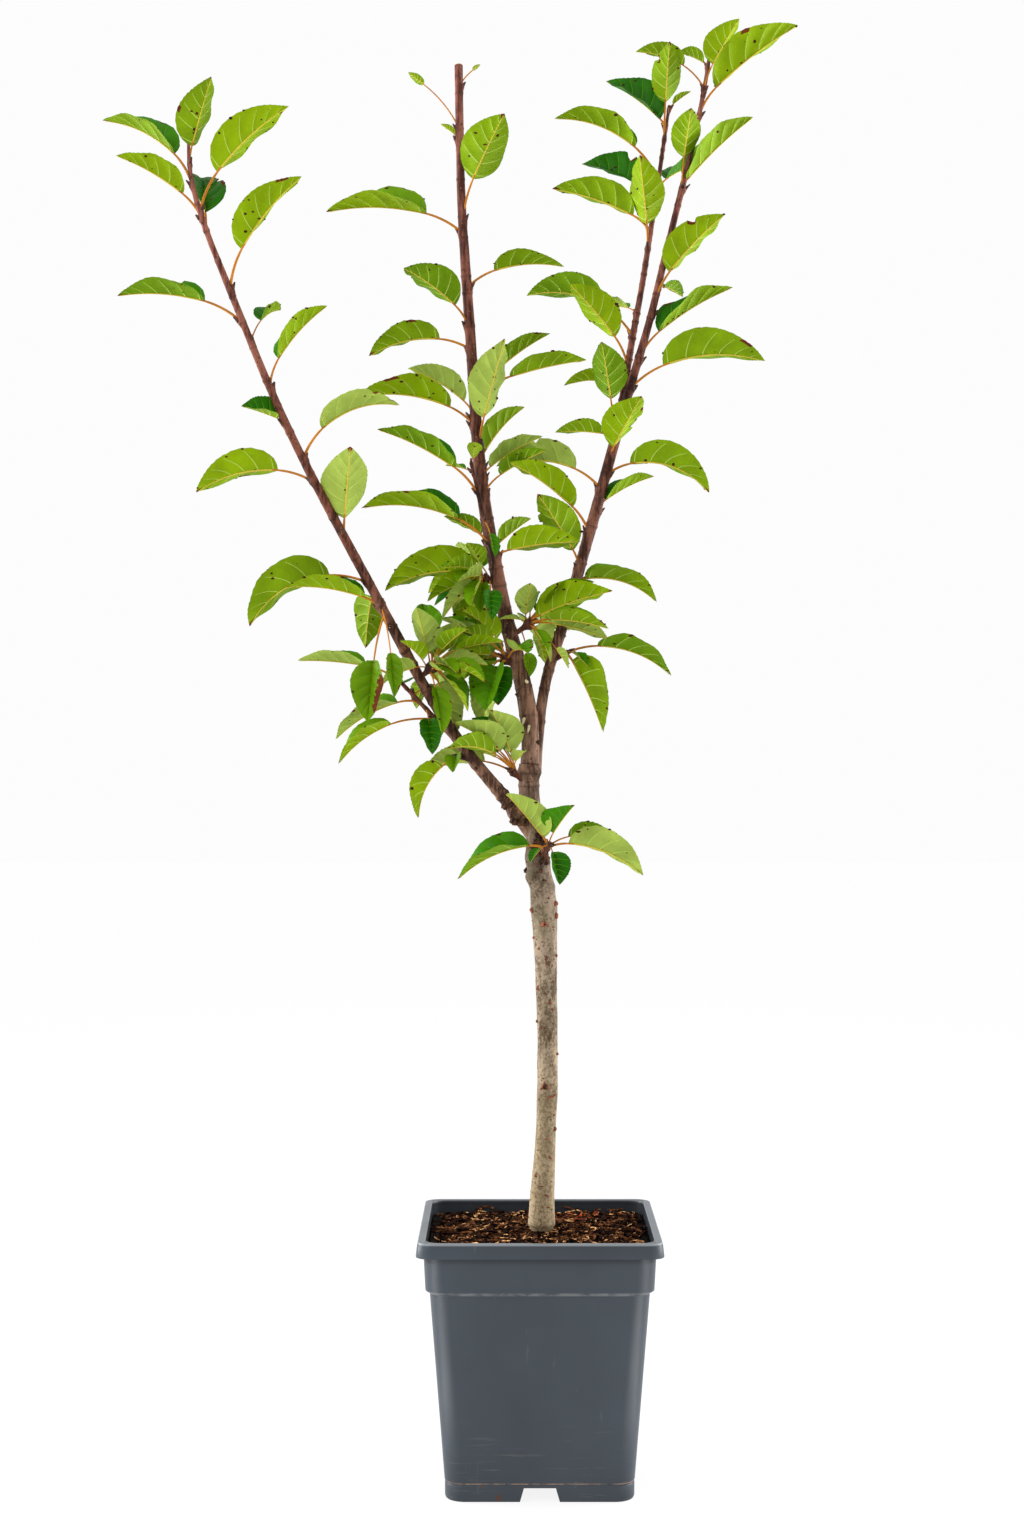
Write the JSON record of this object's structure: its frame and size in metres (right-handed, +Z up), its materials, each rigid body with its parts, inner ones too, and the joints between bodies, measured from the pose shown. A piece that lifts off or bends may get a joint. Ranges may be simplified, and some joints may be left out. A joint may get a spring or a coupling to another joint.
{
  "type": "potted young apple tree",
  "caption": "Young apple tree in a square plastic nursery pot: a leaning slender trunk forks into upright boughs whose shoots carry folded, arching leaves.",
  "frame": {"origin": "centre of the pot's underside, at ground level, on the flat of the pad in the middle of its floor", "axes": "+Z straight up the plant; -Y is the front, +X is to the right seen from the front; the pot's sides are square to X and Y"},
  "size_m": [0.5481, 0.2113, 1.1702],
  "materials": {
    "pot_plastic": "satin, moulded",
    "compost": "loose bark compost",
    "bark": "young bark with bud scars",
    "foliage": "satin leaves on woody shoots"
  },
  "bodies": {
    "root": {"pot": "pot_plastic", "compost": "compost", "trunk": "bark", "left_bough": "bark", "centre_bough": "bark", "right_bough": "bark", "left_shoot_low": "foliage", "left_shoot_top": "foliage", "left_twig": "foliage", "left_inner": "foliage", "left_spur": "foliage", "centre_shoot_low": "foliage", "centre_shoot_top": "foliage", "centre_twig": "foliage", "centre_left_spur": "foliage", "centre_low_spur": "foliage", "centre_right_spur": "foliage", "fork_spur": "foliage", "trunk_spur": "foliage", "right_shoot_low": "foliage", "right_spur": "foliage", "right_outer_shoot": "foliage", "right_inner_shoot": "foliage"}
  },
  "joints": []
}
